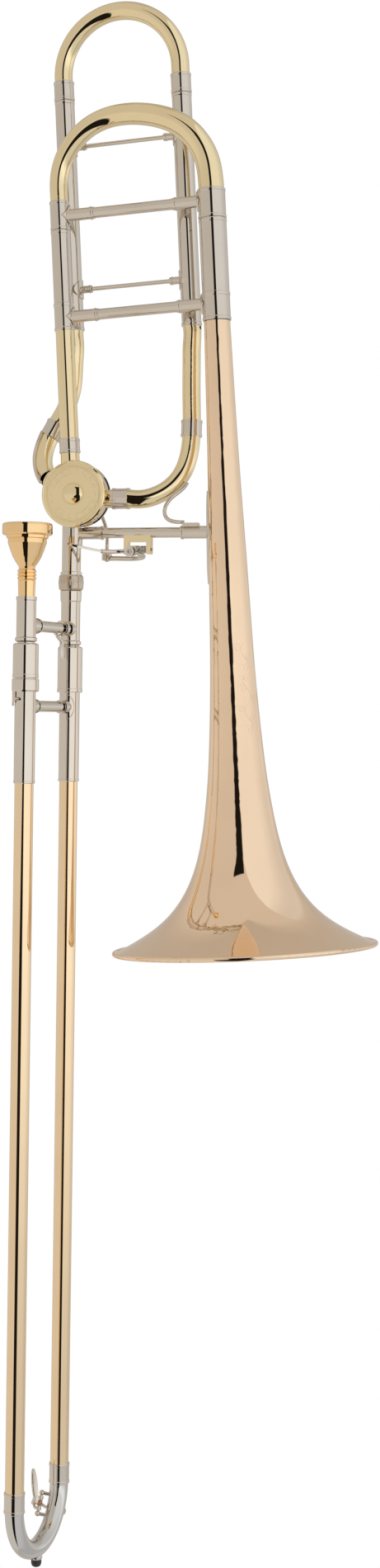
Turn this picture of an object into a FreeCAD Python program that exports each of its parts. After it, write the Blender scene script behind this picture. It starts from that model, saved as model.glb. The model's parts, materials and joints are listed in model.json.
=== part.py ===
"""Tenor trombone with a rotary valve attachment, as an assembly of separate pieces.

Units are millimetres.  The origin lies on the axis of the neckpipe, at the joint between the bell
section and the slide section.  +Z runs up along the slide legs, +X from the neckpipe to the bell,
and -Y is the side of the mouthpiece leg.
"""
import FreeCAD, Part
import math
import os

os.makedirs("parts", exist_ok=True)
V = FreeCAD.Vector

# ---------------------------------------------------------------- driving dimensions
BELL_LEAN = 3.4          # degrees the bell section leans away from the slide, in its own plane
SLIDE_TURN = 5.3         # degrees the slide plane is turned past square to the bell plane
FIT = 0.05               # radial running clearance
GAP = 0.4                # clearance between pieces that move apart
RING_SPACING = 1.4       # between the circles that a curved bar is lofted through, in radii
MOST_RINGS = 25

# slide section
SLIDE_SPAN = 87.0        # centre distance of the two slide legs
INNER_R = 7.0            # inner slide tube
INNER_BORE_R = 6.6
OUTER_R = 7.65           # outer slide tube
OUTER_BORE_R = 7.05
SLEEVE_R = 8.45          # nickel sleeve on the outer slide
BARREL_R = 10.3          # cork barrel
BARREL_BORE_R = 8.95
BARREL_TOP = -46.5
BARREL_BOTTOM = -84.8
SHORT_BARREL_BOTTOM = -74.6
OUTER_TOP = -64.0
SLEEVE_BOTTOM = -158.8
FERRULE_TOP = -724.8
FERRULE_BOTTOM = -741.5
CROOK_CENTRE_Z = -738.5
CROOK_R = 7.63          # slide crook, just inside its ferrules
FERRULE_R = 8.55
INNER_TUBE_END = -716.0
BRACE_Z = -32.0
HAND_BRACE_Z = -96.8
RECEIVER_TOP = -9.2
RECEIVER_R = 7.9
SOCKET_R = 8.85
SOCKET_BOTTOM = -9.4
NECK_R = 7.9
NECK_BORE_R = 7.0
NUT_TOP = 13.1
NUT_BOTTOM = 0.3

# mouthpiece
MP_TOP = 49.6
MP_RIM_R = 20.2
MP_CUP_R = 12.9
MP_CUP_DEPTH = 26.0
MP_THROAT_R = 3.6
MP_END = -36.0

# bell section, in its own leaning frame: u across from the neck, w up
LEG_U = 4.3              # tuning leg on the valve side
BELL_U = 136.4           # bell axis
TUNE_TOP = 326.0         # top of the tuning ferrules
CROOK_SWELL = ((180, 0.0), (165, 1.7), (150, 3.7), (135, 4.3), (120, 3.9), (105, 2.2), (90, 0.4),
               (75, -0.2), (60, 0.6), (45, 1.6), (30, 1.5), (15, 0.8), (0, 0.0))
TUNE_SPLIT = 301.0       # where the moving ferrules meet the fixed sleeves
SLEEVE_END = 240.0
TUNE_END = 217.0
BOW_RISE = 2.8           # straight stretch of the attachment crook above its ferrules
TUNE_LEG_R = 7.3
TUNE_SLEEVE_R = 7.95
WIDE_LEG_R = 10.7
WIDE_SLEEVE_R = 11.35
WIDE_DROP = 3.4          # the fittings on the bell-side leg sit this much lower than those on the valve side
BELL_TOP = TUNE_END - WIDE_DROP - 0.4
RIM_W = -300.4
RIM_R = 106.6
RIM_WIRE_R = 2.1
BELL_WALL = 0.9
LEG_FERRULE = (126.8, 114.4)

# rotary valve attachment
ATT_Y = 24.0             # the attachment tubing lies this far behind the main tubing
ATT_LEFT_U = 5.0
ATT_RIGHT_U = 108.0
ATT_TOP = 432.5
ATT_SPLIT = 415.5
ATT_END = 220.5
ATT_DROP = 5.0           # the same step between the two attachment legs
ATT_TUBE_R = 7.6
ATT_SLEEVE_R = 8.2
ATT_FERRULE_R = 8.7
VALVE_X = 5.4
VALVE_Z = 79.6
LOOP_PORT_ANGLE = 152.0  # where the loop meets the valve, from +X towards +Z
CASING_R = 25.7
CASING_BORE_R = 22.6
ROTOR_R = 22.55
CAP_R = 27.9
PLATE_R = 24.0            # bearing plate on the back
CASE_FRONT = -10.0
CASE_BACK = 8.6
CAP_FRONT = -14.2
BOSS_R = 8.0             # polished dome in the middle of the cap
ARM_R = 14.0             # stop arm, rotor centre to link pin
ARM_HALF_THROW = 25.0    # degrees each side of level
LEVER_ARM = 21.0         # lever, hinge to link ball
LEVER_HALF_THROW = 16.35

# main brace and lever
MAIN_BRACE_Z = 48.0
BRACE_R = 4.3
BRACE_END_R = 5.2
HINGE_Y = 0.0
HINGE_Z = 34.0
LEVER_X0 = 50.6
LEVER_X1 = 59.4
BALL_X = 24.5


# ---------------------------------------------------------------- small helpers
def along(shape, angle, axis):
    """Turn a shape about an axis through the origin."""
    out = shape.copy()
    out.rotate(V(0, 0, 0), axis, angle)
    return out


def on_slide(shape):
    return along(shape, -SLIDE_TURN, V(0, 0, 1))


def on_bell(shape):
    return along(shape, -BELL_LEAN, V(0, 1, 0))


def bell_point(u, y, w):
    t = math.radians(BELL_LEAN)
    return V(u * math.cos(t) - w * math.sin(t), y, u * math.sin(t) + w * math.cos(t))


def rod(p, q, r):
    d = q.sub(p)
    return Part.makeCylinder(r, d.Length, p, d)


def taper(p, q, r0, r1):
    d = q.sub(p)
    if abs(r0 - r1) < 1e-6:
        return rod(p, q, r0)
    return Part.makeCone(r0, r1, d.Length, p, d)


def tube(p, q, r_out, r_in):
    return rod(p, q, r_out).cut(rod(p, q, r_in))


def vertical_tube(x, y, z0, z1, r_out, r_in):
    return tube(V(x, y, z0), V(x, y, z1), r_out, r_in)


def lathe(profile, x, y):
    """Revolve a closed (radius, height) outline about a vertical axis."""
    pts = [V(r, 0, z) for r, z in profile]
    wire = Part.makePolygon(pts + [pts[0]])
    solid = Part.Face(wire).revolve(V(0, 0, 0), V(0, 0, 1), 360)
    solid.translate(V(x, y, 0))
    return solid


def beads(z0, z1, r, count, depth):
    """(radius, height) outline of a row of small turned beads from z0 to z1."""
    out = []
    step = (z1 - z0) / count
    for i in range(count):
        base = z0 + i * step
        out += [(r - depth, base), (r, base + 0.3 * step), (r, base + 0.7 * step)]
    return out + [(r - depth, z1)]


def spline(points, start=None, end=None):
    """Smooth curve through the points, with a set direction at its ends if one is given."""
    curve = Part.BSplineCurve()
    if start is None:
        curve.interpolate(points)
    else:
        curve.interpolate(Points=points, InitialTangent=start, FinalTangent=end)
    return curve


def rings(curve, r0, r1):
    """Circles square to a curve, evenly spaced, with radii that run from r0 to r1."""
    count = min(max(round(curve.length() / (RING_SPACING * r0)), 7), MOST_RINGS)
    start = curve.tangent(curve.FirstParameter)[0]
    side = V(0, 1, 0) if abs(start.y) < 0.7 else V(1, 0, 0)
    wires = []
    for i in range(count):
        share = i / (count - 1)
        param = curve.FirstParameter + (curve.LastParameter - curve.FirstParameter) * share
        ahead = curve.tangent(param)[0]
        side = side.sub(ahead * side.dot(ahead))
        side.normalize()
        circle = Part.makeCircle(r0 + (r1 - r0) * share)
        turn = FreeCAD.Rotation(side, ahead.cross(side), ahead, "ZXY")
        circle.Placement = FreeCAD.Placement(curve.value(param), turn)
        wires.append(Part.Wire([circle]))
    return wires


def sweep(path, r0, r1=None):
    """Round bar along a curve from radius r0 to radius r1, or along a wire of lines and arcs."""
    if not isinstance(path, Part.Wire):
        return Part.makeLoft(rings(path, r0, r1 if r1 else r0), True, False)
    first = path.OrderedEdges[0]
    circle = Part.makeCircle(r0, first.valueAt(first.FirstParameter), first.tangentAt(first.FirstParameter))
    shell = Part.BRepOffsetAPI.MakePipeShell(path)
    shell.setFrenetMode(True)
    shell.add(Part.Wire([circle]))
    shell.build()
    shell.makeSolid()
    return shell.shape()


def hollow(curve, r0, wall, r1=None):
    inner = (r1 - wall) if r1 else None
    return sweep(curve, r0, r1).cut(sweep(curve, r0 - wall, inner))


def bow(centre, radius, across, upward, straight, longer=0.0):
    """Half circle over the top of a centre, with a straight stretch before and after it.

    The stretch before it can be the longer one.
    """
    a = centre.add(V(*across) * radius)
    m = centre.add(V(*upward) * radius)
    b = centre.add(V(*across) * -radius)
    drop = V(*upward) * -straight
    edges = [Part.Arc(a, m, b).toShape()]
    if straight > 0:
        edges.insert(0, Part.makeLine(a.add(drop).add(V(*upward) * -longer), a))
        edges.append(Part.makeLine(b, b.add(drop)))
    return Part.Wire(edges)


def coil(p, q, r, wire_r, turns):
    """Helical spring from p to q."""
    d = q.sub(p)
    helix = Part.makeHelix(d.Length / turns, d.Length, r)
    section = Part.Wire([Part.makeCircle(wire_r, V(r, 0, 0), V(0, 1, 0))])
    body = Part.Wire(helix).makePipeShell([section], True, True)
    place = FreeCAD.Placement(p, FreeCAD.Rotation(V(0, 0, 1), d))
    body.Placement = place
    return body


def diamond(centre, half_long, half_wide, thick, normal, long_dir):
    """Diamond plate with a thickness both ways along its normal."""
    side = V(*normal).cross(V(*long_dir))
    long_v = V(*long_dir)
    pts = [long_v * half_long, side * half_wide, long_v * -half_long, side * -half_wide]
    base = centre.sub(V(*normal) * thick)
    wire = Part.makePolygon([base.add(p) for p in pts] + [base.add(pts[0])])
    return Part.Face(wire).extrude(V(*normal) * (2 * thick))


def shell_patch(plate, axis_p, axis_q, r, thick):
    """Part of a thin sleeve of inner radius r that lies inside a plate."""
    return plate.common(tube(axis_p, axis_q, r + thick, r))


def brace_bar(p, q, r, end_r, end_len, collar):
    """Brace tube with a thicker socket at each end and a collar ring beside it."""
    d = q.sub(p)
    n = V(d)
    n.normalize()
    parts = [rod(p, q, r), rod(p, p.add(n * end_len), end_r)]
    parts.append(rod(q.sub(n * end_len), q, end_r))
    for s in (end_len - 3 * collar, d.Length - end_len + 2 * collar):
        a = p.add(n * s)
        parts.append(rod(a, a.add(n * collar), end_r + 0.5 * collar))
    return parts[0].multiFuse(parts[1:])


def joined(parts):
    out = parts[0] if len(parts) == 1 else parts[0].multiFuse(parts[1:])
    return out.removeSplitter()


def save(name, shape):
    solids = shape.Solids
    out = solids[0] if len(solids) == 1 else Part.makeCompound(solids)
    if not out.isValid():
        print("INVALID", name)
    out.exportStep("parts/%s.step" % name)
    box = out.BoundBox
    text = "%-26s %2d solids  x %.0f..%.0f y %.0f..%.0f z %.0f..%.0f"
    print(text % (name, len(solids), box.XMin, box.XMax, box.YMin, box.YMax, box.ZMin, box.ZMax))


# ---------------------------------------------------------------- slide section
MP_Y = -SLIDE_SPAN       # the mouthpiece leg, in the slide's own frame


def mouthpiece():
    top = MP_TOP
    outer = [
        (MP_CUP_R + 2.0, top - 1.2), (MP_CUP_R + 4.0, top), (MP_RIM_R - 1.6, top),
        (MP_RIM_R - 0.4, top - 0.6), (MP_RIM_R, top - 2.0), (MP_RIM_R, top - 8.6),
        (MP_RIM_R - 1.0, top - 9.6), (MP_RIM_R - 3.2, top - 10.0), (MP_RIM_R - 3.4, top - 12.0),
        (MP_RIM_R - 4.6, top - 12.6), (MP_RIM_R - 4.6, top - 16.0), (13.9, top - 21.0),
        (11.6, top - 27.0), (9.0, top - 31.5), (6.8, top - 34.6), (6.5, top - 36.5),
    ]
    outer += [(r, z) for r, z in reversed(beads(top - 45.5, top - 37.0, 7.6, 3, 0.9))]
    outer += [(7.1, top - 46.4), (6.7, top - 58.4), (6.0, MP_END)]
    inner = [(5.2, MP_END), (MP_THROAT_R, top - MP_CUP_DEPTH - 9.0), (MP_THROAT_R, top - MP_CUP_DEPTH - 2.0)]
    for i in range(7):
        a = math.radians(90.0 * i / 6)
        depth = MP_CUP_DEPTH * math.cos(a)
        inner.append((MP_THROAT_R + (MP_CUP_R - MP_THROAT_R) * math.sin(a), top - 2.6 - depth))
    return lathe(outer + inner, 0, MP_Y)


def mouthpiece_receiver():
    shank_top_r = 6.75 + FIT
    r_in = [(shank_top_r, RECEIVER_TOP), (6.05 + FIT, MP_END - 0.3)]
    wall = [(7.4, -45.6), (RECEIVER_R, -41.2), (RECEIVER_R, RECEIVER_TOP - 3.4)]
    lip = [(RECEIVER_R + 0.4, RECEIVER_TOP - 2.6), (RECEIVER_R + 0.4, RECEIVER_TOP)]
    body = lathe(r_in + [(INNER_R, MP_END - 0.3), (INNER_R, -45.6)] + wall + lip, 0, MP_Y)
    bead = lathe([(7.4, -45.6), (8.9, -44.6), (8.9, -42.4), (7.4, -41.4)], 0, MP_Y)
    return joined([body, bead])


def inner_tube(y, top):
    return vertical_tube(0, y, INNER_TUBE_END, top, INNER_R, INNER_BORE_R)


def barrel(y, bottom):
    prof = [
        (INNER_R, BARREL_TOP), (8.6, BARREL_TOP), (BARREL_R - 0.6, BARREL_TOP - 0.5),
        (BARREL_R, BARREL_TOP - 1.4), (BARREL_R, bottom + 3.2), (BARREL_R + 0.25, bottom + 2.8),
        (BARREL_R + 0.25, bottom + 0.5), (BARREL_R - 0.2, bottom), (BARREL_BORE_R, bottom),
        (BARREL_BORE_R, OUTER_TOP + 1.6), (INNER_R, OUTER_TOP + 1.6),
    ]
    return lathe(prof, 0, y)


def slide_receiver():
    """Tapered socket for the neckpipe, carried on the sleeve of the bell-side leg."""
    prof = [
        (6.2, 0.0), (SOCKET_R - 0.3, 0.0), (SOCKET_R, -0.6), (SOCKET_R - 0.2, SOCKET_BOTTOM + 0.8),
        (RECEIVER_R + 0.1, SOCKET_BOTTOM), (RECEIVER_R, -41.6), (8.9, -42.4), (8.9, -44.6),
        (7.4, -45.9), (INNER_R, -45.9), (INNER_R, -24.2), (5.7, -24.2),
    ]
    return lathe(prof, 0, 0)


def inner_slide_brace():
    p = V(0, MP_Y, BRACE_Z)
    q = V(0, 0, BRACE_Z)
    bar = brace_bar(p, q, 4.6, 5.9, 21.0, 1.0)
    saddles = [rod(V(0, MP_Y, BRACE_Z), V(0, MP_Y + 10.6, BRACE_Z), 6.9)]
    saddles.append(rod(V(0, -10.6, BRACE_Z), V(0, 0, BRACE_Z), 6.9))
    full = joined([bar] + saddles)
    for y in (MP_Y, 0):
        full = full.cut(Part.makeCylinder(RECEIVER_R + 0.02, 60, V(0, y, BRACE_Z - 30)))
    return full


def finger_rest():
    """Spoon below the inner brace, its dish hanging beside the bell-side barrel."""
    bar = rod(V(0, MP_Y, BRACE_Z), V(0, 0, BRACE_Z), 4.62)
    stem = sweep(spline([V(-0.6, -25.5, BRACE_Z - 3.8), V(-1.2, -23.5, BRACE_Z - 6.6),
                         V(0.2, -20.8, BRACE_Z - 9.6), V(1.4, -19.2, BRACE_Z - 13.0)]), 1.5)
    foot = rod(V(-0.4, -25.5, BRACE_Z - 3.6), V(-0.4, -25.5, BRACE_Z - 5.4), 3.0)
    ball = Part.makeSphere(13.0).cut(Part.makeSphere(11.7))
    dish = ball.common(Part.makeCylinder(4.6, 20, V(0, 0, 0), V(1, 0, 0)))
    dish = dish.transformGeometry(stretched(1.0, 1.75))
    dish.translate(V(-10.4, -18.6, BRACE_Z - 18.6))
    return joined([stem, foot, dish]).cut(bar)


def slide_lock_ring():
    """Turning collar under the short barrel, with a hanging hook for the catch pin."""
    z0, z1 = SHORT_BARREL_BOTTOM - GAP, BARREL_BOTTOM - 0.6
    prof = [(SLEEVE_R + 0.45, z0), (BARREL_R + 0.3, z0), (BARREL_R + 0.6, z0 - 1.2),
            (BARREL_R + 0.6, z1 + 1.4), (BARREL_R + 0.2, z1), (SLEEVE_R + 0.45, z1)]
    ring = lathe(prof, 0, MP_Y)
    shell = lathe([(SLEEVE_R + 0.6, z1 + 6.0), (BARREL_R + 0.2, z1 + 6.0), (BARREL_R + 0.2, z1 - 8.6),
                   (SLEEVE_R + 0.6, z1 - 8.6)], 0, MP_Y)
    slab = Part.makeBox(14, 5.0, 14.6, V(-14, MP_Y - 7.2, z1 - 8.6))
    nub = rod(V(-8.6, MP_Y - 4.7, z1 - 11.4), V(-8.6, MP_Y - 4.7, z1 - 8.4), 0.85)
    return joined([ring, shell.common(slab), nub])


def outer_tube(y):
    return vertical_tube(0, y, CROOK_CENTRE_Z + 0.1, OUTER_TOP, OUTER_R, OUTER_BORE_R)


def outer_sleeve(y):
    top = OUTER_TOP - 0.4
    prof = [(OUTER_R, top), (SLEEVE_R, top), (SLEEVE_R, SLEEVE_BOTTOM + 2.2),
            (SLEEVE_R + 0.3, SLEEVE_BOTTOM + 2.0), (SLEEVE_R + 0.3, SLEEVE_BOTTOM + 0.6),
            (SLEEVE_R - 0.2, SLEEVE_BOTTOM), (OUTER_R, SLEEVE_BOTTOM)]
    return lathe(prof, 0, y)


def hand_brace():
    p = V(0, MP_Y, HAND_BRACE_Z)
    q = V(0, 0, HAND_BRACE_Z)
    bar = brace_bar(p, q, 4.5, 5.4, 20.0, 0.9)
    saddle_r = SLEEVE_R + 1.3
    parts = [bar]
    for y, s in ((MP_Y, 1), (0, -1)):
        zone = Part.makeCylinder(11.0, 12.0, V(0, y, HAND_BRACE_Z), V(0, s, 0))
        zone = zone.transformGeometry(stretched(0.62, 1.0))
        saddle = vertical_tube(0, y, HAND_BRACE_Z - 12, HAND_BRACE_Z + 12, saddle_r, SLEEVE_R)
        parts.append(zone.common(saddle))
    full = joined(parts)
    for y in (MP_Y, 0):
        full = full.cut(Part.makeCylinder(SLEEVE_R, 60, V(0, y, HAND_BRACE_Z - 30)))
    return full


def stretched(across, upright):
    """Matrix that scales a shape across x and along z."""
    m = FreeCAD.Matrix()
    m.scale(across, 1, upright)
    return m


def crook_ferrule(y):
    z0, z1, r = FERRULE_BOTTOM, FERRULE_TOP, FERRULE_R
    prof = [
        (OUTER_R, z1), (r - 0.3, z1), (r, z1 - 0.6), (r, z1 - 2.2), (r - 0.3, z1 - 2.6),
        (r - 0.3, z0 + 2.6), (r, z0 + 2.2), (r, z0 + 0.5), (r - 0.4, z0), (OUTER_R, z0),
    ]
    return lathe(prof, 0, y).cut(crook_core())


def crook_arc():
    half = SLIDE_SPAN / 2
    return bow(V(0, -half, CROOK_CENTRE_Z), half, (0, 1, 0), (0, 0, -1), 0.0)


def crook_core():
    return sweep(crook_arc(), CROOK_R)


def slide_crook():
    """Bow at the foot of the outer slide, with the socket ring for the rubber tip."""
    z = CROOK_CENTRE_Z - SLIDE_SPAN / 2 - CROOK_R
    ring = [(0, z - 1.6), (4.4, z - 1.6), (4.9, z - 0.8), (4.9, z + 0.4), (4.2, z + 1.8), (0, z + 1.8)]
    socket = lathe(ring, 0, -SLIDE_SPAN / 2).cut(crook_core())
    return joined([hollow(crook_arc(), CROOK_R, 0.7), socket])


def rubber_tip():
    z = CROOK_CENTRE_Z - SLIDE_SPAN / 2 - CROOK_R - 1.6
    prof = [(0, z - 6.0), (2.6, z - 6.0), (3.6, z - 5.2), (4.2, z - 3.4), (4.3, z), (0, z)]
    return lathe(prof, 0, -SLIDE_SPAN / 2)


def catch_pin():
    """Pin on the outer slide that the lock's hook takes hold of."""
    z = BARREL_BOTTOM - 6.4
    pin = rod(V(-2.2, MP_Y - 4.0, z), V(-3.6, MP_Y - 13.4, z), 1.5)
    return pin.cut(Part.makeCylinder(SLEEVE_R, 40, V(0, MP_Y, z - 20)))


# water key: a frame standing square to the crook bore, 30 degrees round the bend
KEY_ANGLE = 30.0
KEY_HINGE_X = -12.0
KEY_HINGE_N = -7.0
KEY_LENGTH = 17.0
HUB_LENGTH = 2.4
SPRING_R = 1.75
SPRING_WIRE_R = 0.38
SPOON_TURN = -16.0
SPOON_TILT = 7.0


def key_point(x, n, t):
    """Point from the crook bore: x across, n outward from the bend, t along the bore."""
    a = math.radians(KEY_ANGLE)
    half = SLIDE_SPAN / 2
    y = -half + half * math.cos(a) + n * math.cos(a) - t * math.sin(a)
    z = CROOK_CENTRE_Z - half * math.sin(a) - n * math.sin(a) - t * math.cos(a)
    return V(x, y, z)


def water_key_saddle():
    """Two posts on the bend for the key's hinge pin, and the drain nipple opposite."""
    parts = []
    for t in (-KEY_LENGTH / 2, KEY_LENGTH / 2):
        post = rod(key_point(-3.0, -3.4, t), key_point(KEY_HINGE_X, KEY_HINGE_N, t), 1.5)
        parts.append(post.cut(crook_core()))
        ball = Part.makeSphere(2.3, key_point(KEY_HINGE_X, KEY_HINGE_N, t))
        parts.append(ball)
    nipple = tube(key_point(0, 4.0, 0), key_point(0, OUTER_R + 2.4, 0), 3.0, 1.5)
    flange = rod(key_point(0, 4.0, 0), key_point(0, OUTER_R + 0.5, 0), 4.6)
    drain = joined([nipple, flange.cut(rod(key_point(0, 3.0, 0), key_point(0, 14.0, 0), 1.5))])
    drain = drain.cut(crook_core())
    pin = key_pin_bar(1.02, 1.5)
    return Part.makeCompound([s.cut(pin) for s in joined(parts).Solids] + drain.Solids)


def key_pin_bar(r, extra):
    a = key_point(KEY_HINGE_X, KEY_HINGE_N, -KEY_LENGTH / 2 - extra)
    b = key_point(KEY_HINGE_X, KEY_HINGE_N, KEY_LENGTH / 2 + extra)
    return rod(a, b, r)


def water_key_pin():
    return key_pin_bar(1.0, 1.2)


def water_key_lever():
    """Hub on the pin, spoon reaching up between the legs, pad arm round the bore."""
    half = KEY_LENGTH / 2 - 2.9
    hub_a = key_point(KEY_HINGE_X, KEY_HINGE_N, -half)
    hub_b = key_point(KEY_HINGE_X, KEY_HINGE_N, -half + HUB_LENGTH)
    hub_c = key_point(KEY_HINGE_X, KEY_HINGE_N, half - HUB_LENGTH)
    hub_d = key_point(KEY_HINGE_X, KEY_HINGE_N, half)
    bridge = sweep(spline([key_point(-13.4, -7.4, -half + 1.2), key_point(-16.0, -7.1, -half + 2.3),
                           key_point(-17.0, -6.8, 0), key_point(-16.0, -7.1, half - 2.3),
                           key_point(-13.4, -7.4, half - 1.2)]), 1.2)
    r = OUTER_R + 4.6
    arm_pts = [key_point(-17.0, -6.4, 0)]
    for deg in (195, 165, 130, 100):
        a = math.radians(deg)
        arm_pts.append(key_point(r * math.cos(a), r * math.sin(a) * 1.0 + 0.6, 0))
    arm = sweep(spline(arm_pts), 1.25)
    cup = rod(key_point(0, OUTER_R + 2.9, 0), key_point(0, OUTER_R + 5.8, 0), 4.0)
    recess = rod(key_point(0, OUTER_R, 0), key_point(0, OUTER_R + 4.6, 0), 3.3)
    stem = sweep(spline([key_point(-16.6, -7.0, 0.0), key_point(-15.8, -12.5, 1.4),
                         key_point(-13.6, -16.4, 0.0), key_point(-12.6, -18.4, -3.4)]), 1.4)
    hole = key_pin_bar(1.0 + FIT, 4.0)
    coil_room = key_pin_bar(SPRING_R + 3 * SPRING_WIRE_R, half - HUB_LENGTH - GAP - KEY_LENGTH / 2)
    bars = [bar.cut(coil_room) for bar in (bridge, arm, stem)]
    bars += [rod(hub_a, hub_b, 2.1), rod(hub_c, hub_d, 2.1), cup, key_spoon()]
    bored = [bar.cut(hole).cut(recess) for bar in bars]
    return bored[0].multiFuse(bored[1:])


def key_spoon():
    """Thin curved leaf, much longer than wide, standing along the slide legs."""
    ball = Part.makeSphere(14.0).cut(Part.makeSphere(12.8))
    leaf = ball.common(Part.makeCylinder(3.3, 20, V(0, 0, 0), V(-1, 0, 0)))
    leaf = leaf.transformGeometry(stretched(1.0, 4.3))
    leaf.rotate(V(0, 0, 0), V(0, 0, 1), SPOON_TURN)
    leaf.rotate(V(0, 0, 0), V(0, 1, 0), -SPOON_TILT)
    centre = key_point(-13.0, -22.5, -10.0)
    leaf.translate(centre.sub(leaf.Solids[0].CenterOfMass))
    return leaf


def water_key_pad():
    return rod(key_point(0, OUTER_R + 2.45, 0), key_point(0, OUTER_R + 4.6, 0), 3.25)


def water_key_spring():
    half = KEY_LENGTH / 2 - 6.2
    a = key_point(KEY_HINGE_X, KEY_HINGE_N, -half)
    b = key_point(KEY_HINGE_X, KEY_HINGE_N, half)
    return coil(a, b, SPRING_R, SPRING_WIRE_R, 5)


# ---------------------------------------------------------------- bell section: bell and neck
def bell_stations():
    """(height, outer radius) down the bell, thin throat to full flare."""
    return [(BELL_TOP, 10.8), (192.0, 11.2), (138.0, 12.2), (84.0, 13.5), (30.0, 15.3), (-24.5, 16.9),
            (-78.6, 18.7), (-132.7, 21.9), (-159.7, 24.2), (-186.7, 27.6), (-213.6, 32.4),
            (-240.5, 40.7), (-258.0, 50.0), (-271.0, 60.5), (-283.0, 75.0), (-292.0, 90.0), (RIM_W, RIM_R)]


def bell_body():
    st = bell_stations()
    outer = [V(r, 0, w) for w, r in st]
    inner = []
    for i, (w, r) in enumerate(st):
        w0, r0 = st[max(i - 1, 0)]
        w1, r1 = st[min(i + 1, len(st) - 1)]
        d = V(r1 - r0, 0, w1 - w0)
        d.normalize()
        inner.append(V(r + d.z * BELL_WALL, 0, w - d.x * BELL_WALL))
    inner[0].z = st[0][0]
    a = spline(outer).toShape()
    b = spline(inner).toShape()
    edges = [a, Part.makeLine(outer[-1], inner[-1]), b, Part.makeLine(inner[0], outer[0])]
    wire = Part.Wire(Part.__sortEdges__(edges))
    body = Part.Face(wire).revolve(V(0, 0, 0), V(0, 0, 1), 360)
    bead = Part.makeTorus(RIM_R, RIM_WIRE_R, V(0, 0, RIM_W), V(0, 0, 1))
    full = joined([body, bead])
    full.translate(V(BELL_U, 0, 0))
    return on_bell(full)


def bell_solid():
    """The filled outline of the bell above its flare, for trimming pieces that sit on it."""
    pts = [V(0, 0, BELL_TOP)] + [V(r, 0, w) for w, r in bell_stations()[:8]]
    curve = spline(pts[1:]).toShape()
    edges = [Part.makeLine(pts[0], pts[1]), curve, Part.makeLine(pts[-1], V(0, 0, pts[-1].z))]
    edges.append(Part.makeLine(V(0, 0, pts[-1].z), pts[0]))
    body = Part.Face(Part.Wire(Part.__sortEdges__(edges))).revolve(V(0, 0, 0), V(0, 0, 1), 360)
    body.translate(V(BELL_U, 0, 0))
    return on_bell(body)


def neckpipe():
    """Pipe from the valve down through the lock nut, with its tapered tenon."""
    top = VALVE_Z - 22.5
    prof = [
        (NECK_BORE_R - 1.9, -22.0), (5.55, -22.0), (6.12, -0.2), (NECK_R - 0.9, 0.2), (NECK_R - 0.9, 2.4),
        (NECK_R, 2.6), (NECK_R, top), (NECK_BORE_R, top), (NECK_BORE_R, 10.0),
    ]
    pipe = lathe(prof, 0, 0)
    collar = lathe([(NECK_R, NUT_TOP + 0.5), (NECK_R + 1.1, NUT_TOP + 0.5), (NECK_R + 1.1, NUT_TOP + 2.2),
                    (NECK_R, NUT_TOP + 2.6)], 0, 0)
    return joined([pipe, collar]).cut(casing_solid())


def lock_nut():
    """Knurled, bulged nut that clamps the neckpipe into the slide receiver."""
    r = NECK_R + FIT
    prof = [(r, NUT_TOP), (9.2, NUT_TOP), (10.1, NUT_TOP - 1.4), (10.55, 6.6), (10.1, NUT_BOTTOM + 1.4),
            (9.2, NUT_BOTTOM), (r, NUT_BOTTOM)]
    nut = lathe(prof, 0, 0)
    grooves = []
    count = 24
    for i in range(count):
        a = 2 * math.pi * i / count
        x, y = 10.85 * math.cos(a), 10.85 * math.sin(a)
        grooves.append(Part.makeCylinder(0.55, 9.0, V(x, y, 2.2)))
    return nut.cut(Part.makeCompound(grooves))


# ---------------------------------------------------------------- rotary valve
def drum(y0, y1, r):
    return Part.makeCylinder(r, y1 - y0, V(VALVE_X, y0, VALVE_Z), V(0, 1, 0))


def casing_solid():
    return drum(CASE_FRONT, CASE_BACK, CASING_R)


def valve_casing():
    body = casing_solid().cut(drum(CASE_FRONT - 1, CASE_BACK + 1, CASING_BORE_R))
    for curve_r in port_cores():
        body = body.cut(curve_r)
    for y in (CASE_FRONT + 3.4, CASE_BACK - 2.8):
        ring = drum(y - 0.9, y + 0.9, CASING_R + 0.6).cut(drum(y - 2, y + 2, CASING_R))
        body = body.fuse(trim_ports(ring))
    return body.removeSplitter()


def trim_ports(shape):
    for port in port_solids():
        shape = shape.cut(port)
    return shape


def port_lines():
    """Start point, end point, outer radius and bore of the three brass stubs on the valve."""
    top_a = bell_point(LEG_U, 0, VALVE_Z + 22.0)
    top_b = bell_point(LEG_U, 0, LEG_FERRULE[1] + 6.0)
    a = math.radians(LOOP_PORT_ANGLE)
    loop_a = V(VALVE_X + 20.0 * math.cos(a), 0.0, VALVE_Z + 20.0 * math.sin(a))
    loop_b = V(VALVE_X + 30.5 * math.cos(a), 1.2, VALVE_Z + 30.5 * math.sin(a))
    return [
        (top_a, top_b, 7.9, 7.1),
        (V(VALVE_X + 20.0, 0.8, VALVE_Z - 3.2), V(41.5, 0.8, VALVE_Z - 3.2), ATT_TUBE_R, ATT_TUBE_R - 0.7),
        (loop_a, loop_b, ATT_TUBE_R, ATT_TUBE_R - 0.7),
    ]


def port_solids():
    stubs = [rod(a, b, r) for a, b, r, _ in port_lines()]
    return stubs + [Part.makeCylinder(NECK_R, 40, V(0, 0, VALVE_Z - 45))]


def port_cores():
    cores = [rod(a, b, r) for a, b, _, r in port_lines()]
    cores.append(Part.makeCylinder(NECK_BORE_R, 40, V(0, 0, VALVE_Z - 45)))
    return cores


def valve_ports():
    stubs = [tube(a, b, r_out, r_in).cut(casing_solid()) for a, b, r_out, r_in in port_lines()]
    stubs[-1] = stubs[-1].cut(left_loop_core())
    return Part.makeCompound([max(stub.Solids, key=lambda s: s.Volume) for stub in stubs])


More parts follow.
